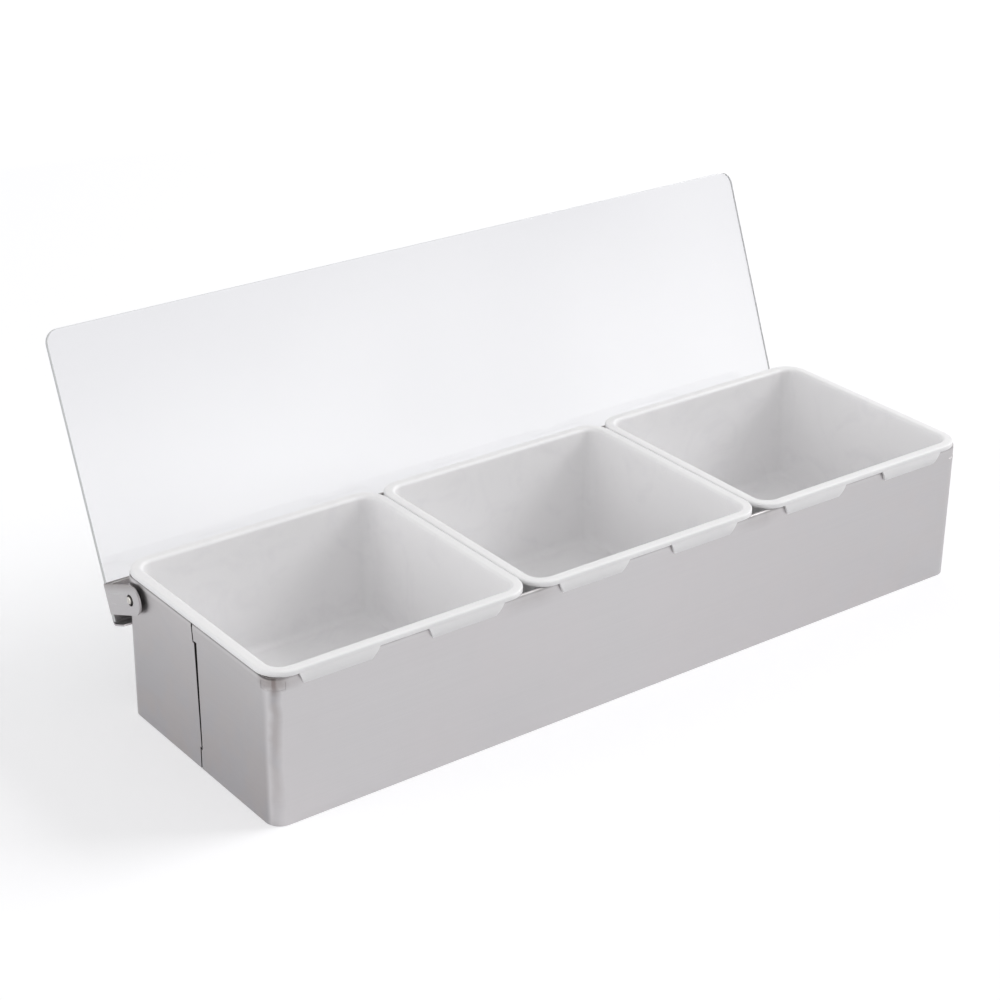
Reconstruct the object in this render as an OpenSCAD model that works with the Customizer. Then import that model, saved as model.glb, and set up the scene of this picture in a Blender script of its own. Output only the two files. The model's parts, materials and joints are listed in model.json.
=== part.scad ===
// Condiment caddy for a bar or a serving line.
// A folded steel box carries three drop-in tubs side by side, and one clear
// lid as long as the box is hinged on two pins at the back.
// Origin: the middle of the box's underside. X runs along the box, the front
// faces -Y, and Z is up. The lid is modelled open, resting on its stop.

/* [Box] */
// Outside length of the steel box
box_l = 490; // [430:1:560]
// Outside depth of the steel box, front to back
box_w = 149; // [135:1:170]
// Height of the steel box, up to the top of its hem
box_h = 86.4; // [75:0.2:110]
// Thickness of the sheet that the box is folded from
sheet_t = 1; // [0.8:0.1:1.2]
// Outside radius of the four upright bends
bend_r = 9; // [7:0.5:12]
// How far the hem is folded down inside the wall
hem_depth = 10.5; // [9:0.5:12]
// Gap between the wall and its folded hem
hem_gap = 0.3; // [0.2:0.05:0.4]
// Height of the band below the top edge that leans inwards
lean_h = 3.2; // [2.8:0.1:4]
// How far that band leans in at its top
lean_in = 0.35; // [0.2:0.05:0.5]
// Height of the shallow relief round each upper corner
relief_h = 7.2; // [5:0.1:8.5]
// Depth of that relief
relief_in = 0.2; // [0.1:0.05:0.5]

/* [Seam] */
// Place of the seam on the left end, from the middle of the box
seam_y = -1.1; // [-20:0.1:20]
// Sideways run of the seam from the hem down to the base flange
seam_run = 1.8; // [0:0.1:3]
// Gap of the seam just below the hem
seam_gap_top = 2.6; // [0.8:0.1:2.8]
// Gap of the seam above the base flange, and in its two end steps
seam_gap_low = 1.1; // [0.5:0.1:1.2]
// Sideways step of the seam beside the hem
seam_step_top = 2.1; // [1.2:0.1:3]
// Sideways run of the seam beside the hem
seam_run_top = 1.4; // [0:0.1:2]
// Sideways step of the seam beside the base flange
seam_step_low = 1.2; // [0.9:0.1:2]
// Width of the tongue that laps behind the seam
lap_w = 18; // [12:1:24]
// Clearance of the tongue from the base flange and from the hem
lap_clear = 1; // [0.5:0.1:3]

/* [Base pan] */
// Thickness of the base sheet
pan_t = 1; // [0.8:0.1:1.2]
// Height of the flange turned up around the base sheet
pan_flange_h = 12; // [10:0.5:14]
// Clearance between that flange and the wall
pan_clear = 0.1; // [0.05:0.05:0.2]

/* [Tubs] */
// Thickness of a tub's rim
rim_t = 3; // [2.4:0.1:4]
// Width of a tub's rim
rim_w = 6.4; // [5.8:0.1:7.2]
// Corner radius of the rim's outline
rim_r = 15; // [13.5:0.5:17]
// Rounding of the rim's outer upper edge
rim_edge_r = 1.1; // [0.6:0.1:1.2]
// Rounding of the rim's inner upper edge
rim_lead_r = 1.8; // [1:0.1:2.2]
// Overhang of the rims past each end of the box
rim_over_x = 0.8; // [0.4:0.1:1]
// Overhang of the rims past the front and the back
rim_over_y = 1.5; // [1.4:0.1:1.8]
// Gap between neighbouring rims
rim_gap = 0.4; // [0.3:0.1:1]
// Gap between a rim and the box's top edge
seat_gap = 0.3; // [0.2:0.1:0.4]
// Depth of a tub below its rim
tub_depth = 74; // [60:1:74]
// Wall thickness of a tub
tub_wall = 1.8; // [1.5:0.1:1.9]
// Floor thickness of a tub
tub_floor = 2.2; // [1.8:0.1:3]
// Draft angle of a tub's walls, in degrees
tub_draft = 1.6; // [1:0.1:2]
// Rounding between the inside wall and the floor
tub_fillet = 5; // [3:0.5:5.5]

/* [Hooks] */
// Width of a hook where it leaves the rim
hook_w = 48.4; // [40:0.1:52]
// Height of a hook below the rim
hook_drop = 6.2; // [5:0.1:8]
// Thickness of a hook
hook_t = 1.2; // [1:0.1:1.4]
// Sideways run of a hook's left end
hook_run_left = 2.4; // [1:0.1:4]
// Sideways run of a hook's right end
hook_run_right = 5.4; // [3:0.1:7]
// Distance from the rim's left end to its first hook
hook_start = 17; // [15:0.1:20]
// Distance between the two hooks of one side
hook_pitch = 78.6; // [70:0.1:82]
// Bulge of a hook's face at its middle height
hook_bulge = 0.5; // [0.2:0.1:0.7]

/* [Lid] */
// Thickness of the clear lid
lid_t = 3; // [2.5:0.1:4]
// Distance from the pins to the lid's free edge, along the lid
lid_reach = 149; // [140:1:160]
// Gap between each end of the lid and the ear beside it
lid_side_gap = 0.5; // [0.3:0.1:1.5]
// Radius of the lid's two free corners
lid_corner_r = 8; // [4:0.5:14]
// Rounding of the lid's edges
lid_edge_r = 0.5; // [0.2:0.1:1]
// Angle of the open lid above the horizontal, in degrees
lid_open = 68; // [62:1:74]

/* [Hinge] */
// Distance of the pins in front of the back wall
pin_inset = 11.6; // [11:0.1:13]
// Distance of the pins below the top edge
pin_drop = 12.9; // [12.5:0.1:15]
// Half the height of an ear, which is also the radius of its nose
ear_half = 8.5; // [8:0.1:9.5]
// Distance from the pin to the centre of the ear's round nose
ear_nose = 3.2; // [2:0.1:6]
// Distance from the pin to the back face of the bracket's web
web_back = 27.9; // [27:0.1:31]
// Thickness of the bracket's sheet
bracket_t = 1.2; // [1:0.1:1.5]
// Outside radius of the bracket's bend
bracket_bend_r = 1.7; // [1.6:0.1:2.2]
// Depth of the flange along the top of the bracket
flange_depth = 7; // [5:0.1:7.2]
// Gap between that flange and each ear, where the sheet is notched
ear_notch = 0.6; // [0.4:0.1:1.5]
// Gap between an ear and the end wall of the box
ear_gap = 2.1; // [1.8:0.1:3.5]
// Thickness of the strip behind the lid
strip_t = 1; // [0.8:0.1:1.4]
// Outside radius of the strip's bend
strip_bend_r = 2.6; // [1.8:0.1:3]
// Distance from the pin down to the stop flange's lower face, along the lid
stop_drop = 15.8; // [13.5:0.1:16]
// How far the strip stands out past each end of the box
strip_over = 1.3; // [0:0.1:1.5]
// Gap between the stop flange and the back wall, with the lid open
stop_gap = 0.3; // [0.2:0.1:0.5]

/* [Pins and rivets] */
// Diameter of the hinge pins
pin_d = 4.2; // [4:0.1:5.4]
// How far a pin stands out past its ear
pin_proud = 0.5; // [0.3:0.1:2.5]
// Diameter of the hole in an ear, punched with room round its pin
ear_hole_d = 6.6; // [6:0.1:7]
// Gap that is left behind the pin, where the hole hangs forward against it
ear_rest = 0.1; // [0.05:0.05:0.2]
// Radial clearance of a hinge pin in its hole in the end wall
wall_fit = 0.1; // [0.05:0.05:0.2]
// Radial clearance of a rivet in its holes and of a washer on its pin
fixed_fit = 0.03; // [0.02:0.01:0.05]
// Diameter of a pin's head inside the box
pin_head_d = 9; // [8:0.1:9.4]
// Thickness of a pin's head
pin_head_t = 1.3; // [1:0.1:1.4]
// Gap between a pin's head and the wall, where the wall starts to bend behind it
head_seat = 0.1; // [0.05:0.05:0.2]
// Clearance between a pin's head and the notched hem
head_clear = 0.6; // [0.4:0.1:1]
// Outside diameter of a spacer washer
washer_d = 9.5; // [8:0.1:11]
// Axial play of an ear against its spacer washer
washer_play = 0.2; // [0.1:0.05:0.4]
// Number of rivets along the lid
rivet_count = 5; // [3:1:7]
// Diameter of a rivet's shank
rivet_d = 3.2; // [2.4:0.1:4]
// Diameter of a rivet's domed head
rivet_head_d = 6.4; // [5.4:0.1:7.4]
// Height of a rivet's domed head
rivet_head_h = 1.5; // [1:0.1:2]
// Diameter of a rivet's set tail
rivet_tail_d = 4.8; // [4.2:0.1:5.2]
// Height of a rivet's set tail
rivet_tail_h = 1.1; // [0.8:0.1:1.5]
// Distance from the pin line to the rivets, towards the lid's lower edge
rivet_drop = 1.5; // [0:0.1:3]
// Distance from the end of the box to the first rivet
rivet_inset = 30; // [20:1:60]

/* [Hidden] */
$fn = 64;
// How far a cut runs past the face that it opens.
over = 1;
// How far two shapes of one solid run into each other where they join.
bite = 0.01;

// Half sizes of the rectangle that joins the centres of the box's upright bends.
box_cx = box_l / 2 - bend_r;
box_cy = box_w / 2 - bend_r;
// The fold at the top of the hem is a half round of the wall, the gap and the hem.
fold_r = sheet_t + hem_gap / 2;
hem_t = 2 * fold_r;

// Three tubs share the length of the box.
tub_count = 3;
rim_row_l = box_l + 2 * rim_over_x;
tub_pitch = rim_row_l / tub_count;
rim_l = tub_pitch - rim_gap;
rim_wy = box_w + 2 * rim_over_y;
rim_z = box_h + seat_gap;
rim_top = rim_z + rim_t;
tub_cx = rim_l / 2 - rim_r;
tub_cy = rim_wy / 2 - rim_r;
tub_bottom = rim_z - tub_depth;
mouth_r = rim_r - rim_w;

// The lid's own frame has its origin on the pin line, Y along the lid towards
// its free edge and Z square to it, towards the front.
pin_y = box_w / 2 - pin_inset;
pin_z = box_h - pin_drop;
ear_in = box_l / 2 + ear_gap;
ear_out = ear_in + bracket_t;
lid_l = 2 * (ear_in - lid_side_gap);
lid_front = -web_back;
lid_back = lid_front - lid_t;
strip_back = lid_back - strip_t;
// The lid's lower edge ends where the strip behind it starts to bend.
lid_low = -stop_drop + strip_bend_r;
// The stop flange ends where its lower edge meets the back wall of the box.
stop_reach = (pin_inset + stop_gap + stop_drop * cos(lid_open)) / sin(lid_open);
washer_t = ear_gap - washer_play;
strip_l = box_l + 2 * strip_over;
// With the lid on its stop, each ear's hole lies this far forward of its pin.
ear_hang = (ear_hole_d - pin_d) / 2 - ear_rest;

// A pin's head reaches past the start of the box's bend, whose inner face
// already curves in there, so the head sits that much further in.
head_past = max(0, bend_r - pin_inset + pin_head_d / 2);
bend_in = bend_r - sheet_t;
head_set = bend_in - sqrt(pow(bend_in, 2) - pow(head_past, 2)) + head_seat;

steel = [0.74, 0.73, 0.74];
steel_dark = [0.62, 0.61, 0.62];
white_plastic = [0.94, 0.94, 0.95];
clear_plastic = [0.86, 0.9, 0.9, 0.35];

// A section drawn with its inner edge on the Y axis is carried round a
// rectangle whose corners lie cx and cy from the middle.
module carry_corner(cx, cy, quadrant) {
    turn = 90 * quadrant;
    sx = quadrant == 0 || quadrant == 3 ? 1 : -1;
    sy = quadrant < 2 ? 1 : -1;
    translate([sx * cx, sy * cy, 0]) rotate([0, 0, turn]) rotate_extrude(angle = 90) children();
}

// side 0 is the right end, 1 the back, 2 the left end and 3 the front.
module carry_side(cx, cy, side) {
    run = side % 2 == 0 ? 2 * cy : 2 * cx;
    reach = side % 2 == 0 ? cx : cy;
    rotate([0, 0, 90 * side]) translate([reach, run / 2, 0]) rotate([90, 0, 0])
        linear_extrude(run) children();
}

module carry_round(cx, cy) {
    for (quadrant = [0 : 3]) carry_corner(cx, cy, quadrant) children();
    for (side = [0 : 3]) carry_side(cx, cy, side) children();
}

// Section of a straight wall. It stands upright, leans in below its top edge,
// folds over in a half round and comes down again behind itself as the hem.
module wall_section() {
    fold_x = bend_r - lean_in - fold_r;
    fold_z = box_h - fold_r;
    lean_z = box_h - lean_h;
    hem_low = box_h - hem_depth;
    difference() {
        union() {
            polygon([[bend_r - sheet_t, 0], [bend_r, 0], [bend_r, lean_z], [fold_x + fold_r, fold_z],
                     [fold_x, fold_z], [bend_r - sheet_t, lean_z]]);
            translate([fold_x - fold_r, hem_low]) square([fold_r, hem_depth - fold_r]);
            translate([fold_x, fold_z]) circle(fold_r);
        }
        polygon([[fold_x - fold_r + sheet_t, hem_low - over], [bend_r - sheet_t, hem_low - over],
                 [bend_r - sheet_t, lean_z], [fold_x + fold_r - sheet_t, fold_z],
                 [fold_x - fold_r + sheet_t, fold_z]]);
        translate([fold_x, fold_z]) circle(hem_gap / 2);
    }
}

// Section of the wall round an upright bend, where it has no hem.
module bend_section() {
    lean_z = box_h - lean_h;
    top_x = bend_r - lean_in;
    polygon([[bend_r - sheet_t, 0], [bend_r, 0], [bend_r, lean_z], [top_x, box_h - fold_r], [top_x, box_h],
             [top_x - sheet_t, box_h], [top_x - sheet_t, box_h - fold_r], [bend_r - sheet_t, lean_z]]);
}

// Outline of the seam on the left end, drawn in the plane of the wall with the
// height along Y. It steps aside at the hem and at the base flange.
module seam_outline() {
    z_low = pan_flange_h;
    z_top = box_h - hem_depth;
    half_low = seam_gap_low / 2;
    half_top = seam_gap_top / 2;
    low_y = seam_y - seam_run;
    hem_y = seam_y + seam_step_top;
    polygon([[low_y - half_low, z_low], [low_y + half_low, z_low],
             [seam_y + half_top, z_top], [seam_y - half_top, z_top]]);
    translate([low_y + seam_step_low - half_low, -over]) square([seam_gap_low, z_low + over + seam_gap_low]);
    translate([low_y, z_low]) square([seam_step_low, seam_gap_low]);
    polygon([[hem_y - half_low, z_top - seam_gap_low], [hem_y + half_low, z_top - seam_gap_low],
             [hem_y + seam_run_top + half_low, box_h + over], [hem_y + seam_run_top - half_low, box_h + over]]);
    translate([seam_y, z_top - seam_gap_low]) square([seam_step_top, seam_gap_low]);
}

module seam_cut() {
    depth = hem_t + lean_in + 2 * over;
    translate([-box_l / 2 - over, 0, 0]) rotate([90, 0, 90]) linear_extrude(depth) seam_outline();
}

// Tongue of the wrap that laps behind the seam, between the base flange and the hem.
module seam_lap() {
    z_low = pan_flange_h + lap_clear;
    z_top = box_h - hem_depth - lap_clear;
    lap_y = seam_y - seam_run / 2;
    translate([-box_l / 2 + sheet_t, lap_y - lap_w / 2, z_low]) cube([sheet_t, lap_w, z_top - z_low]);
}

module corner_relief() {
    for (quadrant = [0 : 3]) carry_corner(box_cx, box_cy, quadrant)
        translate([bend_r - relief_in, box_h - relief_h]) square([relief_in + over, relief_h + over]);
}

module pin_axis() {
    translate([0, pin_y, pin_z]) rotate([0, 90, 0]) children();
}

// The hem is notched round each pin's head.
module head_notch() {
    reach = box_l - 2 * sheet_t - hem_gap;
    pin_axis() cylinder(h = reach, d = pin_head_d + 2 * head_clear, center = true);
}

module box_shell() {
    color(steel) {
        difference() {
            union() {
                for (side = [0 : 3]) carry_side(box_cx, box_cy, side) wall_section();
                for (quadrant = [0 : 3]) carry_corner(box_cx, box_cy, quadrant) bend_section();
            }
            corner_relief();
            seam_cut();
            head_notch();
            pin_axis() cylinder(h = box_l + 2 * over, d = pin_d + 2 * wall_fit, center = true);
        }
        seam_lap();
    }
}

// The base sheet with its flange turned up, inside the wall.
module base_pan() {
    edge_r = bend_r - sheet_t - pan_clear;
    color(steel_dark) {
        carry_round(box_cx, box_cy) {
            square([edge_r, pan_t]);
            translate([edge_r - pan_t, 0]) square([pan_t, pan_flange_h]);
        }
        translate([-box_cx, -box_cy, 0]) cube([2 * box_cx, 2 * box_cy, pan_t]);
    }
}

// Filled half section of a drafted well with a rounded lower edge. It reaches
// r_top at the height z_top and z_bot at its floor.
module well_section(r_top, z_top, z_bot, fillet) {
    slope = tan(tub_draft);
    r_bot = r_top - (z_top - z_bot) * slope;
    centre_r = r_bot + fillet * slope - fillet / cos(tub_draft);
    polygon([[0, z_bot], [centre_r, z_bot], [centre_r, z_bot + fillet],
             [centre_r + fillet * cos(tub_draft), z_bot + fillet - fillet * sin(tub_draft)],
             [r_top, z_top], [0, z_top]]);
    translate([centre_r, z_bot + fillet]) intersection() {
        circle(fillet);
        polygon([[0, 0], [0, -2 * fillet], [2 * fillet, -2 * fillet], [2 * fillet, -2 * fillet * slope]]);
    }
}

module rim_section() {
    translate([0, rim_z]) {
        square([rim_r, rim_t - rim_edge_r]);
        square([rim_r - rim_edge_r, rim_t]);
        translate([rim_r - rim_edge_r, rim_t - rim_edge_r]) circle(rim_edge_r);
    }
}

// The rounding that leads in to the mouth of a tub.
module mouth_section() {
    translate([0, rim_z - bite]) square([mouth_r, rim_t + over]);
    translate([mouth_r, rim_top - rim_lead_r]) difference() {
        translate([-bite, 0]) square([rim_lead_r + bite, rim_lead_r + over]);
        translate([rim_lead_r, 0]) circle(rim_lead_r);
    }
}

// Half section of a tub: rim, drafted wall and floor.
module tub_section() {
    difference() {
        union() {
            well_section(mouth_r + tub_wall, rim_z + bite, tub_bottom, tub_fillet + tub_wall / 2);
            rim_section();
        }
        well_section(mouth_r, rim_z, tub_bottom + tub_floor, tub_fillet);
        mouth_section();
    }
}

// One hook: a thin skirt below the rim, with slanted ends and a bulged face.
module hook() {
    face_y = rim_wy / 2;
    low = rim_z - hook_drop;
    bulge_r = (pow(hook_drop / 2, 2) + pow(hook_bulge, 2)) / (2 * hook_bulge);
    intersection() {
        translate([0, -face_y + hook_t, 0]) rotate([90, 0, 0]) linear_extrude(hook_t + hook_bulge)
            polygon([[0, rim_z + bite], [hook_w, rim_z + bite],
                     [hook_w - hook_run_right, low], [hook_run_left, low]]);
        union() {
            translate([0, -face_y, low]) cube([hook_w, hook_t, hook_drop + bite]);
            translate([0, -face_y - hook_bulge + bulge_r, rim_z - hook_drop / 2]) rotate([0, 90, 0])
                difference() {
                    cylinder(h = hook_w, r = bulge_r);
                    translate([-2 * bulge_r, -bulge_r + hook_bulge + bite, -over])
                        cube([4 * bulge_r, 3 * bulge_r, hook_w + 2 * over]);
                }
        }
    }
}

module hook_row() {
    for (k = [0 : 1]) translate([-rim_l / 2 + hook_start + k * hook_pitch, 0, 0]) hook();
}

// A tub is the same either way round, so its hooks repeat at the back.
module tub(index) {
    color(white_plastic) translate([(index - (tub_count - 1) / 2) * tub_pitch, 0, 0]) {
        carry_round(tub_cx, tub_cy) tub_section();
        translate([-tub_cx, -tub_cy, tub_bottom]) cube([2 * tub_cx, 2 * tub_cy, tub_floor]);
        hook_row();
        rotate([0, 0, 180]) hook_row();
    }
}

module tub_left() { tub(0); }
module tub_middle() { tub(1); }
module tub_right() { tub(2); }

module lid_frame() {
    translate([0, pin_y, pin_z]) rotate([lid_open, 0, 0]) children();
}

function rivet_x(k) = (k / (rivet_count - 1) - 0.5) * (box_l - 2 * rivet_inset);

module rivet_holes() {
    for (k = [0 : rivet_count - 1]) translate([rivet_x(k), -rivet_drop, strip_back - over])
        cylinder(h = web_back, d = rivet_d + 2 * fixed_fit);
}

// Section of the clear sheet at its edge, from the centre of a free corner
// outwards, with both arrises rounded.
module sheet_edge_section() {
    difference() {
        square([lid_corner_r, lid_t]);
        translate([lid_corner_r - lid_edge_r, -over]) square([lid_edge_r + over, lid_t + 2 * over]);
    }
    translate([lid_corner_r - lid_edge_r, lid_edge_r]) square([lid_edge_r, lid_t - 2 * lid_edge_r]);
    for (z = [lid_edge_r, lid_t - lid_edge_r]) translate([lid_corner_r - lid_edge_r, z]) circle(lid_edge_r);
}

// Clear sheet with two rounded free corners. Its lower edge is sawn square.
module clear_sheet() {
    side_x = lid_l / 2 - lid_corner_r;
    side_y = lid_reach - lid_corner_r;
    translate([-side_x, lid_low, 0]) cube([2 * side_x, side_y - lid_low, lid_t]);
    translate([0, side_y, 0]) rotate([90, 0, 90])
        translate([0, 0, -side_x]) linear_extrude(2 * side_x) sheet_edge_section();
    for (s = [0, 1]) mirror([s, 0, 0]) {
        translate([side_x, side_y, 0]) rotate([90, 0, 0])
            linear_extrude(side_y - lid_low) sheet_edge_section();
        translate([side_x, side_y, 0]) rotate_extrude(angle = 90) sheet_edge_section();
    }
}

module lid_panel() {
    color(clear_plastic) lid_frame() difference() {
        translate([0, 0, lid_back]) clear_sheet();
        rivet_holes();
    }
}

// Section of the bracket's web.
module web_section() {
    translate([-ear_half, -web_back]) square([2 * ear_half - bracket_bend_r, bracket_t]);
}

// Section of the bracket's bend and top flange.
module flange_section() {
    translate([ear_half - bracket_bend_r, -web_back + bracket_bend_r]) intersection() {
        difference() {
            circle(bracket_bend_r);
            circle(bracket_bend_r - bracket_t);
        }
        translate([0, -bracket_bend_r]) square(bracket_bend_r);
    }
    translate([ear_half - bracket_t, -web_back + bracket_bend_r])
        square([bracket_t, flange_depth - bracket_bend_r]);
}

// Outline of an ear, seen along the pins: square behind, round at the nose.
module ear_outline() {
    translate([-ear_half, -web_back]) square([2 * ear_half, web_back + ear_nose]);
    translate([0, ear_nose]) circle(ear_half);
}

// Carries a section drawn with Y along the lid and Z square to it along X.
module along_x(from, to) {
    translate([from, 0, 0]) rotate([90, 0, 90]) linear_extrude(to - from) children();
}

module hinge_bracket() {
    color(steel) lid_frame() difference() {
        union() {
            along_x(-ear_in, ear_in) web_section();
            along_x(-ear_in + ear_notch, ear_in - ear_notch) flange_section();
            along_x(-ear_out, -ear_in) ear_outline();
            along_x(ear_in, ear_out) ear_outline();
        }
        translate([0, 0, ear_hang]) rotate([0, 90, 0])
            cylinder(h = 2 * (ear_out + over), d = ear_hole_d, center = true);
        rivet_holes();
    }
}

// Strip behind the lid. Its lower edge is turned forward into the flange that
// meets the back wall when the lid is open.
module strip_section() {
    bend = strip_bend_r;
    flat = -strip_back - bend - stop_reach;
    translate([-stop_drop, -stop_reach - flat]) square([strip_t, flat]);
    translate([-stop_drop + bend, strip_back]) square([stop_drop - bend + ear_half, strip_t]);
    translate([-stop_drop + bend, strip_back + bend]) intersection() {
        difference() {
            circle(bend);
            circle(bend - strip_t);
        }
        translate([-bend, -bend]) square(bend);
    }
}

module stop_strip() {
    color(steel_dark) lid_frame() difference() {
        along_x(-strip_l / 2, strip_l / 2) strip_section();
        rivet_holes();
    }
}

// Domed head behind the strip, shank through strip, lid and web, and a set tail.
module rivet() {
    grip = strip_t + lid_t + bracket_t;
    dome_r = (pow(rivet_head_d / 2, 2) + pow(rivet_head_h, 2)) / (2 * rivet_head_h);
    translate([0, 0, strip_back]) {
        intersection() {
            translate([0, 0, dome_r - rivet_head_h]) sphere(dome_r);
            translate([0, 0, -rivet_head_h]) cylinder(h = rivet_head_h, d = rivet_head_d);
        }
        cylinder(h = grip, d = rivet_d);
        translate([0, 0, grip]) cylinder(h = rivet_tail_h, d = rivet_tail_d);
    }
}

module lid_rivets() {
    color(steel_dark) lid_frame()
        for (k = [0 : rivet_count - 1]) translate([rivet_x(k), -rivet_drop, 0]) rivet();
}

// Hinge pin, one turned form: a head inside the box, and a shank through wall,
// washer and ear.
module hinge_pin(side) {
    chamfer = 0.4;
    inside = box_l / 2 - sheet_t - head_set - pin_head_t;
    tip = ear_out + pin_proud;
    color(steel) pin_axis() mirror([0, 0, side < 0 ? 1 : 0]) rotate_extrude()
        polygon([[0, inside], [pin_head_d / 2, inside], [pin_head_d / 2, inside + pin_head_t],
                 [pin_d / 2, inside + pin_head_t], [pin_d / 2, tip - chamfer],
                 [pin_d / 2 - chamfer, tip], [0, tip]]);
}

module hinge_pin_left() { hinge_pin(-1); }
module hinge_pin_right() { hinge_pin(1); }

module spacer_washer(side) {
    color(steel_dark) pin_axis() mirror([0, 0, side < 0 ? 1 : 0])
        translate([0, 0, box_l / 2]) difference() {
            cylinder(h = washer_t, d = washer_d);
            translate([0, 0, -over]) cylinder(h = washer_t + 2 * over, d = pin_d + 2 * fixed_fit);
        }
}

module spacer_washer_left() { spacer_washer(-1); }
module spacer_washer_right() { spacer_washer(1); }

box_shell();
base_pan();
tub_left();
tub_middle();
tub_right();
lid_panel();
hinge_bracket();
stop_strip();
lid_rivets();
hinge_pin_left();
hinge_pin_right();
spacer_washer_left();
spacer_washer_right();
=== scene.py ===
"""Looks of a condiment caddy with a flip lid: finishes, floor, light and camera.

The file is laid out as an add-on and is run as a script. Lengths are in metres, in the
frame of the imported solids: the origin lies under the middle of the box, X runs along it,
-Y is its front and Z is up.
"""

import json
import math

import bpy
import numpy as np
from bpy.props import FloatProperty, FloatVectorProperty, PointerProperty
from bpy.types import Operator, Panel, PropertyGroup
from mathutils import Matrix, Vector

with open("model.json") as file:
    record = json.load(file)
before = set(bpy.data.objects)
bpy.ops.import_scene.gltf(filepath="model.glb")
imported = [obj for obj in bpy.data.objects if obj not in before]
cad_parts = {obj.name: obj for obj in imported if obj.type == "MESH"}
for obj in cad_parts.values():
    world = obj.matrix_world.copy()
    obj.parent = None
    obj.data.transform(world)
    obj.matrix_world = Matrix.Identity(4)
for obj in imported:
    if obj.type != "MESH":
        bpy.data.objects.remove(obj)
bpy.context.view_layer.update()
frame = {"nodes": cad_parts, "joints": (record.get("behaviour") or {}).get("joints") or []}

bl_info = {
    "name": "Condiment Caddy Looks",
    "version": (1, 0, 0),
    "blender": (4, 5, 0),
    "location": "View3D > Sidebar > Caddy",
    "description": "Finishes, floor, light and camera for a condiment caddy with a flip lid",
    "category": "Object",
}

JOINTS = {joint["name"]: joint for joint in frame["joints"]}
# The lid's hinge line, and the lean of the open lid from the upright, both at rest.
HINGE = Vector(JOINTS["lid_hinge"]["pos_m"])
LID_LEAN = math.radians(22)

# What the dirt and stains of the folded box follow, as the part has it: half the box's
# length, its height, the foot of its folded hem, the top of the base sheet's flange, and
# the distance from the middle of the box to the joint between two tubs.
BOX_END = 0.245
BOX_TOP = 0.0864
HEM_FOOT = 0.0759
BASE_FLANGE = 0.012
TUB_JOINT = 0.082

# The camera that gives the photograph's view. Its lens and sensor are in millimetres, and
# its shift in shares of the picture's width.
CAMERA_PLACE = (-0.7600, -0.9380, 0.6664)
CAMERA_LENS = 84.38
CAMERA_SENSOR = 36
CAMERA_SHIFT = (-0.00763, -0.00319)
CAMERA_NEAREST = 0.05


def linear(hex_colour):
    """An sRGB hex colour as linear red, green and blue."""
    srgb = [int(hex_colour[k:k + 2], 16) / 255 for k in (0, 2, 4)]
    return tuple(c / 12.92 if c <= 0.04045 else ((c + 0.055) / 1.055) ** 2.4 for c in srgb)


# ---------------------------------------------------------------- settings

def length(name, description, default):
    return FloatProperty(name=name, description=description, default=default, min=0,
                         precision=5, unit="LENGTH", subtype="DISTANCE")


def colour(name, description, default):
    return FloatVectorProperty(name=name, description=description, default=linear(default),
                               size=3, min=0, max=1, subtype="COLOR")


def share(name, description, default):
    return FloatProperty(name=name, description=description, default=default, min=0,
                         max=1, subtype="FACTOR")


def degrees(name, description, default):
    return FloatProperty(name=name, description=description, default=math.radians(default),
                         subtype="ANGLE", unit="ROTATION")


def watts(name, description, default):
    return FloatProperty(name=name, description=description, default=default, min=0,
                         subtype="POWER", unit="POWER")


class CaddySteel(PropertyGroup):
    light: colour("Light steel", "Colour of the steel on the crests of its grain", "d4d2d3")
    dark: colour("Dark steel", "Colour of the steel in the lines of its grain", "d1cfd0")
    warm: colour("Warm cast", "Colour that the steel drifts to in patches", "d5d1d2")
    roughness: share("Roughness", "Roughness of the satin finish", 0.3)
    grain: length("Grain line", "Width of a drawn grain line", 0.0009)
    patch: length("Patch", "Size of the patches of warmer steel", 0.07)
    wave: length("Waviness", "Height of the slow waves of the bent sheet", 0.00012)
    # Near-black for the dirt in the seam, and for the painted shade under the rims and on the
    # bracket's top flange.
    soil_and_shade: colour("Soil", "Colour of the dirt that gathers in the seam and under the rims",
                 "1d1a1a")
    # Brown for the real stains, and for the painted shade on the bends, at the left end's foot
    # and towards the right end.
    brown_stain_and_shade: colour("Tarnish", "Colour of the steel where it is stained", "8f8684")
    # Blue-grey that the stains and the painted shade take in patches below the hem.
    blue_stain_and_shade: colour("Heat tint", "Colour of the stain where the bend was worked", "86868c")
    # Colour of the painted highlight along the lower half of each bend's side edge.
    bend_highlight: colour("Burnish", "Colour of the steel where the bending tool rubbed it", "e2e0e1")


class CaddyTubs(PropertyGroup):
    body: colour("Tub", "Colour of the moulded plastic", "f7f6f7")
    worn: colour("Scuffed tub", "Colour where the plastic is scuffed", "f0eff1")
    roughness: share("Roughness", "Roughness of the moulded face", 0.42)
    speckle: length("Mould texture", "Size of the mould's fine texture", 0.0011)


class CaddyLid(PropertyGroup):
    # Darker tint painted along the free edge as shade.
    clear: colour("Sheet", "Tint of the clear sheet", "f9f9fa")
    shaded_tint: colour("Hazy sheet", "Tint along the free edge, where it is handled", "e6e6e8")
    edge: colour("Edge", "Tint of the sheet seen through its sawn edges", "dfe1e1")
    roughness: share("Roughness", "Roughness of the polished faces", 0.03)
    scuff: length("Scuff", "Size of the patches of fine scuffs", 0.05)


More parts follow.
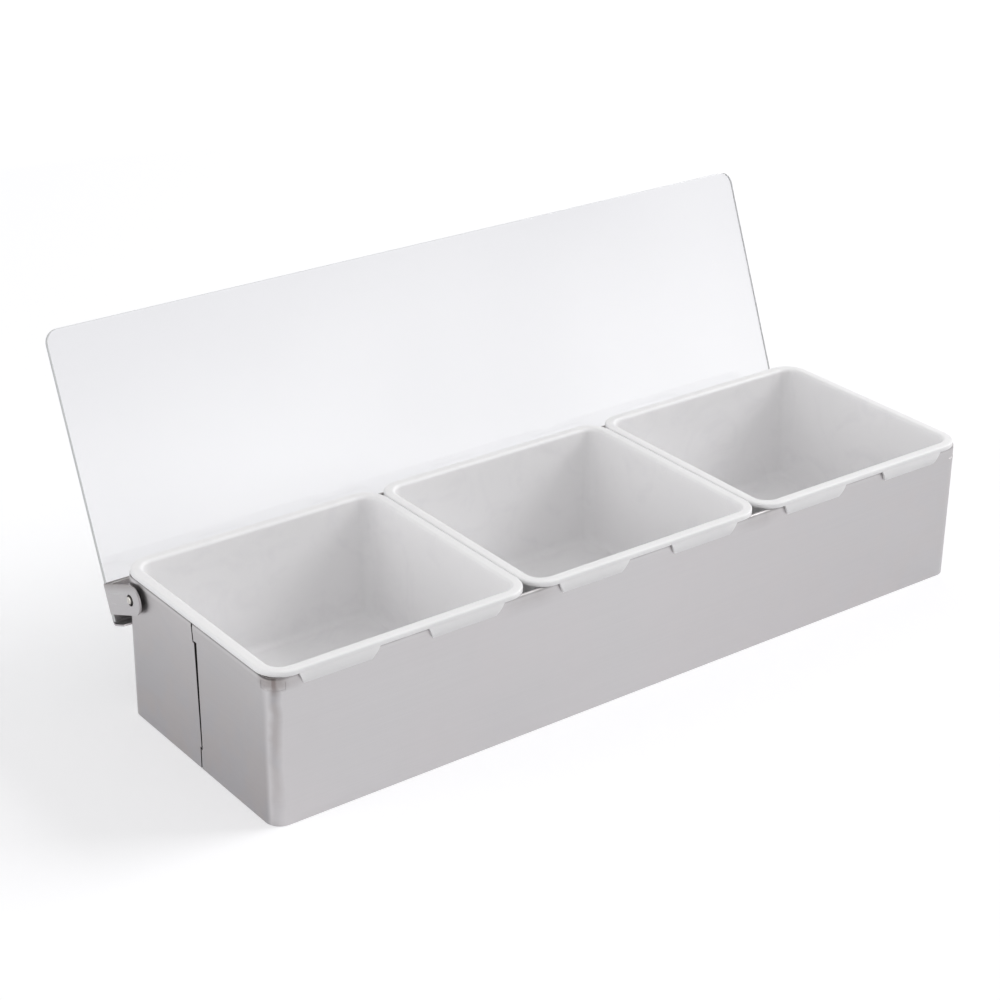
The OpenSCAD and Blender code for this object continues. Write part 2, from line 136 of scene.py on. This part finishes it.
class CaddyFasteners(PropertyGroup):
    pin: colour("Pin", "Colour of the turned pins", "efece6")
    pin_ring: colour("Pin rings", "Colour in the rings that the lathe left", "cfccc6")
    ring: length("Ring", "Distance from one drawn ring to the next", 0.0007)
    rivet: colour("Rivet", "Colour of the rivets' heads", "c4c2c1")
    rivet_dirt: colour("Rivet dirt", "Colour of the dirty patches on the heads", "a09d9c")
    # Black partly as painted shade, darkening the gap between each ear and the end wall.
    washer: colour("Washer", "Colour of the washers", "222224")
    washer_dust: colour("Washer dust", "Colour of the dusty bloom on the washers", "3b3a3a")


class CaddyStage(PropertyGroup):
    floor: colour("Floor", "Colour of the floor", "dddddf")
    floor_glow: share("Floor glow", "Light that the floor adds to its own picture", 0.36)
    far_glow: share("Far glow", "The same light far from the box, where it is white", 1.0)
    mirror_glow: share("Mirrored glow", "Share of that light that the steel mirrors, so "
                       "that it keeps the contrast of the floor's shadow", 0.6)
    sky: share("Surrounding light", "Strength of the light from all round on matt faces", 0.6)
    key: watts("Key lamp", "Power of the large lamp at the right", 157)
    fill: watts("Fill lamp", "Power of the low lamp at the left", 10)
    azimuth: degrees("Azimuth", "Direction of the camera round the box", -37.41)
    elevation: degrees("Elevation", "Height of the camera's view above the horizon", 25.536)
    roll: degrees("Roll", "Turn of the camera about its own view", 0.788)


class CaddyLooks(PropertyGroup):
    steel: PointerProperty(type=CaddySteel, name="Steel")
    tubs: PointerProperty(type=CaddyTubs, name="Tubs")
    lid: PointerProperty(type=CaddyLid, name="Lid")
    fasteners: PointerProperty(type=CaddyFasteners, name="Fasteners")
    stage: PointerProperty(type=CaddyStage, name="Stage")


# ---------------------------------------------------------------- nodes

def plug(tree, socket, value):
    """Links an output to a socket, or sets the socket to a number or a colour."""
    if isinstance(value, bpy.types.NodeSocket):
        tree.links.new(value, socket)
    elif socket.type == "RGBA":
        socket.default_value = (*value, 1)
    else:
        socket.default_value = value


def add(tree, kind, inputs=None, **settings):
    """Adds a node with its settings. inputs holds a value or an output for each socket."""
    node = tree.nodes.new(kind)
    for name, value in settings.items():
        setattr(node, name, value)
    for key, value in (inputs or {}).items():
        plug(tree, node.inputs[key], value)
    return node


def reckon(tree, operation, *values, clamp=False):
    """The result of a sum on numbers or outputs, held between 0 and 1 if it is clamped."""
    return add(tree, "ShaderNodeMath", dict(enumerate(values)), operation=operation,
               use_clamp=clamp).outputs[0]


def reckon_vector(tree, operation, *values):
    """The same on vectors. A dot product and a length are numbers, the rest vectors."""
    node = add(tree, "ShaderNodeVectorMath", dict(enumerate(values)), operation=operation)
    return node.outputs["Value" if operation in ("DOT_PRODUCT", "LENGTH") else "Vector"]


def axes(tree, vector):
    """A vector's X, Y and Z."""
    return add(tree, "ShaderNodeSeparateXYZ", {"Vector": vector}).outputs


def leant(tree, vector, tilt):
    """A vector turned by this tilt about X."""
    return add(tree, "ShaderNodeMapping", {"Vector": vector,
                                           "Rotation": (tilt, 0, 0)}).outputs[0]


def times(tree, *factors):
    """The product of several numbers or outputs."""
    product = factors[0]
    for factor in factors[1:]:
        product = reckon(tree, "MULTIPLY", product, factor)
    return product


def greatest(tree, first, *others):
    """The greatest of several outputs."""
    for other in others:
        first = reckon(tree, "MAXIMUM", first, other)
    return first


def spread(tree, source, low, high, bottom=0.0, top=1.0):
    """A value's range from low to high stretched to bottom to top, and held there."""
    return add(tree, "ShaderNodeMapRange", {"Value": source, "From Min": low, "From Max": high,
                                            "To Min": bottom, "To Max": top}).outputs[0]


def band(tree, source, start, full, until, end):
    """1 where a value lies between full and until, falling to 0 at start and at end."""
    return times(tree, spread(tree, source, start, full), spread(tree, source, end, until))


def between(tree, share_of_b, a, b):
    """The number a, going over to b."""
    return add(tree, "ShaderNodeMix", {0: share_of_b, 2: a, 3: b}).outputs[0]


def blend(tree, share_of_b, a, b):
    """The colour a, going over to b."""
    return add(tree, "ShaderNodeMix", {0: share_of_b, 6: a, 7: b},
               data_type="RGBA").outputs[2]


def noise(tree, place, size, detail=2.0, roughness=0.5, distortion=0.0):
    """Cloudy noise with patches of this real size, from 0 to 1."""
    return add(tree, "ShaderNodeTexNoise", {"Vector": place.outputs["Object"],
                                            "Scale": 1 / size, "Detail": detail,
                                            "Roughness": roughness,
                                            "Distortion": distortion}).outputs["Fac"]


def clouds(tree, place, size, bottom, top, detail=2.0):
    """Soft patches of this real size that go from bottom to top."""
    return spread(tree, noise(tree, place, size, detail), 0.3, 0.7, bottom, top)


def bump(tree, source, height, strength=1.0, over=None):
    """The normal of a face with a relief of this real height, over another relief or none."""
    inputs = {"Height": source, "Strength": strength, "Distance": height}
    if over is not None:
        inputs["Normal"] = over
    return add(tree, "ShaderNodeBump", inputs).outputs["Normal"]


def fresh_material(name):
    """A new material, its node tree, its Principled shader and its coordinates."""
    material = bpy.data.materials.new(name)
    material.use_nodes = True
    tree = material.node_tree
    tree.nodes.clear()
    shader = add(tree, "ShaderNodeBsdfPrincipled")
    add(tree, "ShaderNodeOutputMaterial", {"Surface": shader.outputs["BSDF"]})
    return material, tree, shader, add(tree, "ShaderNodeTexCoord")


def feed(tree, shader, **sources):
    """Sets sockets of a shader, named with _ for a space, to outputs, numbers or colours."""
    for key, value in sources.items():
        plug(tree, shader.inputs[key.replace("_", " ")], value)


def dress(material, *names):
    """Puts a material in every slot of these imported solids."""
    for name in names:
        node = frame["nodes"].get(name)
        if node is None or not node.material_slots:
            raise RuntimeError(f"no solid with a material slot is named {name}")
        for slot in node.material_slots:
            slot.material = material


# ---------------------------------------------------------------- dirt, stains, painted shade and painted highlight

def seam_dirt(tree, spot):
    """1 in the gap of the left end's seam, within the wall's thickness.

    The seam runs aside as it climbs from the base flange to the hem. There it steps aside,
    and it climbs on beside the hem with a narrower gap.
    """
    low_start, low_end, low_half = -0.0029, -0.0011, 0.0022
    high_start, high_end, high_half = 0.0010, 0.0024, 0.0007
    step_foot = 0.0752
    wall = [depth - BOX_END for depth in (0.00002, 0.0001, 0.0025, 0.0030)]
    low = spread(tree, spot["Z"], BASE_FLANGE, HEM_FOOT, low_start, low_end)
    high = spread(tree, spot["Z"], step_foot, BOX_TOP, high_start, high_end)
    past_step = reckon(tree, "GREATER_THAN", spot["Z"], HEM_FOOT)
    path = between(tree, past_step, low, high)
    aside = reckon(tree, "ABSOLUTE", reckon(tree, "SUBTRACT", spot["Y"], path))
    room = between(tree, past_step, low_half, high_half)
    return times(tree, band(tree, spot["X"], *wall), reckon(tree, "LESS_THAN", aside, room))


def rim_shade(tree, spot, left, cloud):
    """A thin line of painted shade along the box's top edge, under the rims, which is darkest
    on the left end.
    """
    edge = [BOX_TOP - drop for drop in (0.0018, 0.0009, 0.0002, 0.0)]
    return times(tree, band(tree, spot["Z"], *edge), cloud,
                 spread(tree, left, 0, 1, 0.35, 0.9))


def corner_stain(tree, spot, cloud):
    """A stained patch at the relief of the upper corner at the front left."""
    return times(tree, spread(tree, spot["X"], -0.2200, -0.2440),
                 spread(tree, spot["Y"], -0.0600, -0.0680),
                 spread(tree, spot["Z"], 0.0780, 0.0815), cloud, 0.8)


def joint_stain(tree, spot, cloud):
    """A faint stained patch below each joint between two tubs."""
    wide, narrow = 0.024, 0.004
    aside = reckon(tree, "ABSOLUTE", spot["X"])
    near = band(tree, aside, TUB_JOINT - wide, TUB_JOINT - narrow, TUB_JOINT + narrow,
                TUB_JOINT + wide)
    return times(tree, near, spread(tree, spot["Z"], 0.0740, 0.0840), cloud, 0.3)


def bend_shade(tree, place, spot, sideways):
    """Painted shade along the middle of each upright bend, where the bend reflects darker,
    which grows towards its top.

    sideways is 0 on the front, 1 on the ends and between them on a bend. Soft patches
    shift it, so that the painted shade's sides wander.
    """
    drift = clouds(tree, place, 0.016, 0.75, 1.0)
    climb = spread(tree, spot["Z"], 0.0, 0.075, 0.15, 0.6)
    relief = spread(tree, spot["Z"], 0.0755, 0.0815, 0, 0.4)
    tall = reckon(tree, "ADD", climb, relief)
    wander = reckon(tree, "ADD", sideways, clouds(tree, place, 0.014, -0.08, 0.08))
    return times(tree, band(tree, wander, 0.26, 0.60, 0.72, 0.92), tall, drift)


def box_dirt_and_shade(tree, place):
    """Where the folded box is dirty, stained, painted with shade and painted with a highlight,
    and how blue its stains and painted shade are.

    Dirt lies in the seam of the left end, and a thin line of painted shade under the rims.
    The steel is stained at the relief of the front-left corner and a little under the rims'
    corners. Painted shade runs along the middle of each bend and more so at its relief,
    towards the left end's foot, and faintly towards the right end. Each bend has a painted
    highlight along the lower half of its side edge. The stains and painted shade are bluer
    in patches below the hem.
    """
    spot = axes(tree, place.outputs["Object"])
    sideways = reckon(tree, "ABSOLUTE", axes(tree, place.outputs["Normal"])["X"])
    cloud = clouds(tree, place, 0.008, 0.6, 1.0, detail=3.0)
    left = spread(tree, spot["X"], -0.2400, -0.2445)
    # Dirt in the seam, and the painted shade under the rims.
    soil_and_shade = greatest(tree, seam_dirt(tree, spot), rim_shade(tree, spot, left, cloud))
    # Painted shade: the left end darkens towards its foot.
    foot = times(tree, left, spread(tree, sideways, 0.88, 0.99),
                 spread(tree, spot["Z"], 0.08, 0.0, 0.10, 0.42))
    # Painted shade: the steel darkens faintly towards the right end.
    right = spread(tree, spot["X"], 0.0, BOX_END, 0.0, 0.15)
    # Real stains at the corner relief and under the tub joints; painted shade on the bends, at
    # the left end's foot and towards the right end.
    stain_and_shade = greatest(tree, corner_stain(tree, spot, cloud), joint_stain(tree, spot, cloud),
                     foot, bend_shade(tree, place, spot, sideways), right)
    # Painted highlight along the lower half of each bend's side edge, beside the end face.
    painted_highlight = times(tree, band(tree, sideways, 0.80, 0.90, 0.96, 1.0), cloud,
                spread(tree, spot["Z"], 0.07, 0.03, 0.0, 0.5))
    # How blue the stains and the painted shade are, in patches below the hem.
    blue = times(tree, spread(tree, noise(tree, place, 0.018), 0.42, 0.58),
                 spread(tree, spot["Z"], 0.080, 0.074))
    return soil_and_shade, stain_and_shade, painted_highlight, blue


def bracket_shade(tree, place):
    """Where the hinge bracket is painted with shade: its top flange, and an ear's brow in the
    lid strip's shadow.

    The height is taken along the open lid, from the hinge line. No highlight is painted and
    nothing is blue.
    """
    brow_foot, flange_foot, flange_full = 0.0045, 0.0083, 0.0085
    moved = reckon_vector(tree, "SUBTRACT", place.outputs["Object"], tuple(HINGE))
    along = (0, math.sin(LID_LEAN), math.cos(LID_LEAN))
    height = reckon_vector(tree, "DOT_PRODUCT", moved, along)
    cloud = clouds(tree, place, 0.006, 0.75, 1.0, detail=3.0)
    # Painted shadow of the lid strip on the ear's brow, and painted shade on the top flange.
    brow = spread(tree, height, brow_foot, flange_foot, 0.0, 0.6)
    flange = spread(tree, height, flange_foot, flange_full)
    soil_and_shade = times(tree, flange, cloud, 0.25)
    stain_and_shade = times(tree, greatest(tree, brow, flange), cloud)
    return soil_and_shade, stain_and_shade, 0.0, 0.0


# ---------------------------------------------------------------- materials

def sheet_grain(tree, place, line, tilt):
    """Noise drawn out into lines along the sheet, from 0 to 1.

    The place is turned by the tilt of the sheet about X. Faces that look along the turned
    Z take their lines from Y, all others from Z, so that the lines run lengthwise on each.
    """
    level_from = 0.7
    slow, fast = 9.0, 1 / line
    spot = leant(tree, place.outputs["Object"], tilt)
    facing = axes(tree, leant(tree, place.outputs["Normal"], tilt))
    flat = reckon(tree, "GREATER_THAN", reckon(tree, "ABSOLUTE", facing["Z"]), level_from)
    upright = reckon_vector(tree, "MULTIPLY", spot, (slow, slow, fast))
    level = reckon_vector(tree, "MULTIPLY", spot, (slow, fast, slow))
    lines = add(tree, "ShaderNodeMix", {0: flat, 4: upright, 5: level}, data_type="VECTOR")
    return add(tree, "ShaderNodeTexNoise", {"Vector": lines.outputs[1], "Scale": 1.0,
                                            "Detail": 2.0, "Roughness": 0.6}).outputs["Fac"]


def brushed_stainless(name, looks, tilt=0.0, darker=1.0, rougher=0.0, dirt=None):
    """Cold-rolled stainless sheet, ground to a satin finish and bent.

    It gives the eye a soft grey that takes the tone of what stands round it, faint
    lengthwise grain, slow patches of warmer grey, and a slight wave where it was bent.
    Real grain is about 0.1 mm wide, and is drawn coarser here so that it shows at all.
    """
    material, tree, shader, place = fresh_material(name)
    grain = sheet_grain(tree, place, looks.grain, tilt)
    light, dark, warm = ([c * darker for c in tint]
                         for tint in (looks.light, looks.dark, looks.warm))
    patches = spread(tree, noise(tree, place, looks.patch, detail=1.5), 0.38, 0.66)
    smudges = spread(tree, noise(tree, place, looks.patch * 0.5, 4.0, 0.6, 0.8), 0.5, 0.72)
    steel = blend(tree, spread(tree, grain, 0.2, 0.8), dark, light)
    steel = blend(tree, times(tree, patches, 0.5), steel, warm)
    steel = blend(tree, times(tree, smudges, 0.25), steel, dark)
    satin = looks.roughness + rougher
    rough = spread(tree, grain, 0.2, 0.8, satin + 0.015, satin - 0.015)
    rough = reckon(tree, "MULTIPLY_ADD", smudges, 0.07, rough)
    slow = bump(tree, noise(tree, place, looks.patch * 1.3, detail=0.0), looks.wave)
    fine = bump(tree, grain, 0.00002, strength=0.1, over=slow)
    metal = 1.0
    # dirt lays real dirt and stains, painted shade and a painted highlight over the steel.
    if dirt:
        soil_and_shade, stain_and_shade, painted_highlight, blue = dirt(tree, place)
        # Painted highlight, then stains and painted shade, then dirt and painted shade in
        # near-black.
        steel = blend(tree, painted_highlight, steel, looks.bend_highlight)
        steel = blend(tree, stain_and_shade, steel, blend(tree, blue, looks.brown_stain_and_shade, looks.blue_stain_and_shade))
        steel = blend(tree, soil_and_shade, steel, looks.soil_and_shade)
        metal = spread(tree, soil_and_shade, 0, 1, 1, 0)
        rough = spread(tree, soil_and_shade, 0, 1, rough, 0.7)
    feed(tree, shader, Base_Color=steel, Metallic=metal, Roughness=rough, Normal=fine)
    return material


def moulded_polypropylene(name, looks):
    """White polypropylene from an injection mould, used and washed.

    It gives the eye a soft waxy white that light enters a little, a fine even mould
    texture, and faint greyer scuffs. The texture is drawn about three times its real
    size of 0.3 mm, so that it shows.
    """
    material, tree, shader, place = fresh_material(name)
    texture = noise(tree, place, looks.speckle, detail=1.0)
    scuffs = spread(tree, noise(tree, place, 0.03, 5.0, 0.65, 1.2), 0.5, 0.68)
    body = blend(tree, times(tree, scuffs, 0.6), looks.body, looks.worn)
    rough = reckon(tree, "MULTIPLY_ADD", scuffs, 0.1, looks.roughness)
    slow = bump(tree, noise(tree, place, 0.045, detail=0.0), 0.00025)
    fine = bump(tree, texture, 0.00003, strength=0.25, over=slow)
    feed(tree, shader, Base_Color=body, Roughness=rough, IOR=1.49,
         Subsurface_Weight=0.5, Subsurface_Scale=0.004,
         Subsurface_Radius=(1.0, 1.0, 1.0), Normal=fine)
    return material


def clear_acrylic(name, looks):
    """Cast acrylic sheet with polished faces and sawn edges.

    It gives the eye a clear pane with the faintest cool grey, edges that the saw left
    frosted and that show as a thin pale line, and soft scuffs from handling.
    """
    material, tree, shader, place = fresh_material(name)
    square = (0, -math.cos(LID_LEAN), math.sin(LID_LEAN))
    face = reckon_vector(tree, "DOT_PRODUCT", place.outputs["Normal"], square)
    edge = spread(tree, reckon(tree, "ABSOLUTE", face), 0.96, 0.6)
    along = axes(tree, leant(tree, place.outputs["Object"], LID_LEAN))["Z"]
    # Painted shade: the tint darkens towards the free edge of the sheet; soft random patches
    # lie over it.
    shaded = spread(tree, along, 0.06, 0.24, 0.0, 0.8)
    cloud = clouds(tree, place, looks.scuff * 3, -0.15, 0.15, detail=1.0)
    patches_and_shade = reckon(tree, "ADD", cloud, shaded, clamp=True)
    scuffs = spread(tree, noise(tree, place, looks.scuff, 5.0, 0.65, 1.5), 0.52, 0.75)
    tint = blend(tree, patches_and_shade, looks.clear, looks.shaded_tint)
    tint = blend(tree, edge, tint, looks.edge)
    rough = reckon(tree, "MULTIPLY_ADD", scuffs, 0.06, looks.roughness)
    rough = reckon(tree, "MULTIPLY_ADD", edge, 0.25, rough)
    feed(tree, shader, Base_Color=tint, Roughness=rough, IOR=1.49,
         Transmission_Weight=spread(tree, edge, 0, 1, 1, 0.35))
    return material


def turned_steel(name, looks, axis):
    """Free-cutting steel turned on a lathe.

    It gives the eye a bright face with fine rings about its axis: a wave on the distance
    from the axis. Real rings are about 0.1 mm apart, and are drawn coarser to show.
    """
    material, tree, shader, place = fresh_material(name)
    middle = add(tree, "ShaderNodeMapping", {"Vector": place.outputs["Object"],
                                             "Location": tuple(-axis)}).outputs[0]
    radius = reckon_vector(tree, "LENGTH", reckon_vector(tree, "MULTIPLY", middle, (0, 1, 1)))
    rings = reckon(tree, "SINE", times(tree, radius, 2 * math.pi / looks.ring))
    tone = spread(tree, rings, -1, 1)
    dust = spread(tree, noise(tree, place, 0.002, detail=3.0), 0.45, 0.7)
    steel = blend(tree, tone, looks.pin_ring, looks.pin)
    steel = blend(tree, times(tree, dust, 0.4), steel, looks.pin_ring)
    feed(tree, shader, Base_Color=steel, Metallic=1.0,
         Roughness=spread(tree, dust, 0, 1, 0.2, 0.34),
         Normal=bump(tree, tone, 0.00002, strength=0.3))
    return material


def cold_headed_steel(name, looks):
    """Cold-headed rivet steel. It gives the eye a small dull dome with pits and dirt."""
    material, tree, shader, place = fresh_material(name)
    pits = noise(tree, place, 0.0009, 3.0, 0.6)
    dirt = spread(tree, noise(tree, place, 0.004), 0.45, 0.65)
    feed(tree, shader, Base_Color=blend(tree, dirt, looks.rivet, looks.rivet_dirt),
         Metallic=1.0, Roughness=spread(tree, pits, 0.3, 0.7, 0.28, 0.42),
         Normal=bump(tree, pits, 0.00003, strength=0.4))
    return material


def black_nylon(name, looks):
    """Moulded black nylon. It gives the eye a dark, dull ring with a dusty bloom; its black
    also stands in as painted shade in the gap between each ear and the end wall.
    """
    material, tree, shader, place = fresh_material(name)
    bloom = spread(tree, noise(tree, place, 0.0015, detail=3.0), 0.45, 0.7)
    feed(tree, shader, Base_Color=blend(tree, bloom, looks.washer, looks.washer_dust),
         Roughness=spread(tree, bloom, 0, 1, 0.45, 0.62), IOR=1.53,
         Normal=bump(tree, noise(tree, place, 0.0006), 0.00003, strength=0.4))
    return material


# ---------------------------------------------------------------- stage

def picture_rays(tree, seen=1.0, mirrored=1.0):
    """What rays of the camera and through clear sheet see, what mirrors see, else 0."""
    path = add(tree, "ShaderNodeLightPath").outputs
    direct = reckon(tree, "MAXIMUM", path["Is Camera Ray"], path["Is Transmission Ray"])
    return greatest(tree, times(tree, direct, seen),
                    times(tree, path["Is Glossy Ray"], mirrored))


def make_floor(looks):
    """A square plane, a hair under the box, with a matt finish that glows to the camera.

    The glow grows with the distance from the origin, so that the far floor is white.
    """
    half, under = 4.0, -0.0001
    near, far = 1.0, 2.0
    square = np.array([(-1, -1), (1, -1), (1, 1), (-1, 1)]) * half
    places = np.column_stack([square, np.full(4, under)])
    mesh = bpy.data.meshes.new("floor")
    mesh.from_pydata(places.tolist(), [], [(0, 1, 2, 3)])
    floor = bpy.data.objects.new("floor", mesh)
    bpy.context.scene.collection.objects.link(floor)
    material = bpy.data.materials.new("Pale paper floor")
    material.use_nodes = True
    tree = material.node_tree
    tree.nodes.clear()
    matt = add(tree, "ShaderNodeBsdfDiffuse", {"Color": tuple(looks.floor)})
    place = add(tree, "ShaderNodeTexCoord")
    distance = reckon_vector(tree, "LENGTH", place.outputs["Object"])
    seen = spread(tree, distance, near, far, looks.floor_glow, looks.far_glow)
    glow = picture_rays(tree, seen, looks.floor_glow * looks.mirror_glow)
    light = add(tree, "ShaderNodeEmission", {"Strength": glow})
    both = add(tree, "ShaderNodeAddShader", {0: matt.outputs[0], 1: light.outputs[0]})
    add(tree, "ShaderNodeOutputMaterial", {"Surface": both.outputs[0]})
    mesh.materials.append(material)


def make_surroundings(looks):
    """White all round for the camera, mirrors and clear sheet, dimmer on matt faces."""
    world = bpy.data.worlds.new("Studio")
    bpy.context.scene.world = world
    world.use_nodes = True
    tree = world.node_tree
    tree.nodes.clear()
    dim = add(tree, "ShaderNodeBackground", {"Color": (1, 1, 1), "Strength": looks.sky})
    white = add(tree, "ShaderNodeBackground", {"Color": (1, 1, 1), "Strength": 1.0})
    mix = add(tree, "ShaderNodeMixShader", {0: picture_rays(tree), 1: dim.outputs[0],
                                            2: white.outputs[0]})
    add(tree, "ShaderNodeOutputWorld", {"Surface": mix.outputs[0]})


def make_lamp(name, place, aim, size, power):
    """A square lamp that looks from one point to another."""
    lamp = bpy.data.lights.new(name, "AREA")
    lamp.shape = "SQUARE"
    lamp.size = size
    lamp.energy = power
    holder = bpy.data.objects.new(name, lamp)
    turn = (Vector(aim) - Vector(place)).to_track_quat("-Z", "Y").to_matrix().to_4x4()
    holder.matrix_world = Matrix.Translation(place) @ turn
    bpy.context.scene.collection.objects.link(holder)


def make_camera(looks):
    """A long lens from the front left, a little above the rims.

    The view's own axes are worked out from its azimuth, elevation and roll.
    """
    az, el, roll = looks.azimuth, looks.elevation, looks.roll
    back = np.array([math.sin(az) * math.cos(el), -math.cos(az) * math.cos(el), math.sin(el)])
    right = np.cross((0, 0, 1), back)
    right /= np.linalg.norm(right)
    up = np.cross(back, right)
    turned = np.column_stack([math.cos(roll) * right + math.sin(roll) * up,
                              math.cos(roll) * up - math.sin(roll) * right, back])
    camera = bpy.data.cameras.new("camera")
    camera.sensor_fit = "HORIZONTAL"
    camera.sensor_width = CAMERA_SENSOR
    camera.lens = CAMERA_LENS
    camera.shift_x, camera.shift_y = CAMERA_SHIFT
    camera.clip_start = CAMERA_NEAREST
    holder = bpy.data.objects.new("camera", camera)
    matrix = Matrix(turned.tolist()).to_4x4()
    matrix.translation = CAMERA_PLACE
    holder.matrix_world = matrix
    bpy.context.scene.collection.objects.link(holder)
    bpy.context.scene.camera = holder


# ---------------------------------------------------------------- operators

class CADDY_OT_box(Operator):
    """Gives the folded box and its base sheet a satin stainless finish"""
    bl_idname = "caddy.box"
    bl_label = "Steel Box"

    def execute(self, context):
        looks = context.scene.caddy_looks.steel
        # The box's finish carries dirt, stains, painted shade and a painted highlight.
        dress(brushed_stainless("Satin stainless sheet", looks, dirt=box_dirt_and_shade), "box_shell")
        dress(brushed_stainless("Mill-finish stainless sheet", looks, darker=0.9,
                                rougher=0.08), "base_pan")
        return {"FINISHED"}


class CADDY_OT_tubs(Operator):
    """Gives the three tubs a moulded white plastic"""
    bl_idname = "caddy.tubs"
    bl_label = "White Tubs"

    def execute(self, context):
        looks = context.scene.caddy_looks.tubs
        dress(moulded_polypropylene("Moulded white polypropylene", looks),
              "tub_left", "tub_middle", "tub_right")
        return {"FINISHED"}


class CADDY_OT_lid(Operator):
    """Gives the lid a clear sheet with pale, frosted edges"""
    bl_idname = "caddy.lid"
    bl_label = "Clear Lid"

    def execute(self, context):
        dress(clear_acrylic("Clear cast acrylic", context.scene.caddy_looks.lid),
              "lid_panel")
        return {"FINISHED"}


class CADDY_OT_hinge(Operator):
    """Gives the hinge bracket and the stop strip a brushed finish that leans with the lid"""
    bl_idname = "caddy.hinge"
    bl_label = "Hinge Steel"

    def execute(self, context):
        looks = context.scene.caddy_looks.steel
        # The bracket's finish carries painted shade on its top flange and an ear's brow.
        dress(brushed_stainless("Brushed hinge steel", looks, LID_LEAN, darker=0.95,
                                rougher=-0.02, dirt=bracket_shade), "hinge_bracket")
        dress(brushed_stainless("Brushed strip steel", looks, LID_LEAN, darker=0.88,
                                rougher=0.04), "stop_strip")
        return {"FINISHED"}


class CADDY_OT_fasteners(Operator):
    """Gives the pins, the rivets and the spacer washers their finishes"""
    bl_idname = "caddy.fasteners"
    bl_label = "Pins, Rivets and Washers"

    def execute(self, context):
        looks = context.scene.caddy_looks.fasteners
        dress(turned_steel("Turned pin steel", looks, HINGE),
              "hinge_pin_left", "hinge_pin_right")
        dress(cold_headed_steel("Cold-headed rivet steel", looks), "lid_rivets")
        dress(black_nylon("Moulded black nylon", looks),
              "spacer_washer_left", "spacer_washer_right")
        return {"FINISHED"}


class CADDY_OT_stage(Operator):
    """Makes the floor, the light all round, the lamps and the camera"""
    bl_idname = "caddy.stage"
    bl_label = "Stage"

    def execute(self, context):
        looks = context.scene.caddy_looks.stage
        context.scene.view_settings.view_transform = "Standard"
        make_floor(looks)
        make_surroundings(looks)
        make_lamp("key", place=(4.35, -1.35, 3.28), aim=(0, 0, 0.04), size=2.7,
                  power=looks.key)
        make_lamp("fill", place=(-2.2, 0.3, 0.5), aim=(0, 0, 0.08), size=0.8,
                  power=looks.fill)
        make_camera(looks)
        return {"FINISHED"}


OPERATORS = (CADDY_OT_box, CADDY_OT_tubs, CADDY_OT_lid, CADDY_OT_hinge,
             CADDY_OT_fasteners, CADDY_OT_stage)


class CADDY_PT_looks(Panel):
    """Lists the caddy's steps and settings"""
    bl_label = "Condiment Caddy"
    bl_idname = "CADDY_PT_looks"
    bl_space_type = "VIEW_3D"
    bl_region_type = "UI"
    bl_category = "Caddy"

    def draw(self, context):
        looks = context.scene.caddy_looks
        for step in OPERATORS:
            self.layout.operator(step.bl_idname)
        for group in (looks.steel, looks.tubs, looks.lid, looks.fasteners, looks.stage):
            box = self.layout.box()
            box.label(text=group.bl_rna.name)
            for name in group.__annotations__:
                box.prop(group, name)


CLASSES = (CaddySteel, CaddyTubs, CaddyLid, CaddyFasteners, CaddyStage, CaddyLooks,
           *OPERATORS, CADDY_PT_looks)


def register():
    for cls in CLASSES:
        bpy.utils.register_class(cls)
    bpy.types.Scene.caddy_looks = PointerProperty(type=CaddyLooks)


def unregister():
    del bpy.types.Scene.caddy_looks
    for cls in reversed(CLASSES):
        bpy.utils.unregister_class(cls)


def main():
    """Registers the classes and runs each step in order."""
    register()
    bpy.ops.caddy.box()
    bpy.ops.caddy.tubs()
    bpy.ops.caddy.lid()
    bpy.ops.caddy.hinge()
    bpy.ops.caddy.fasteners()
    bpy.ops.caddy.stage()


if __name__ == "__main__":
    main()
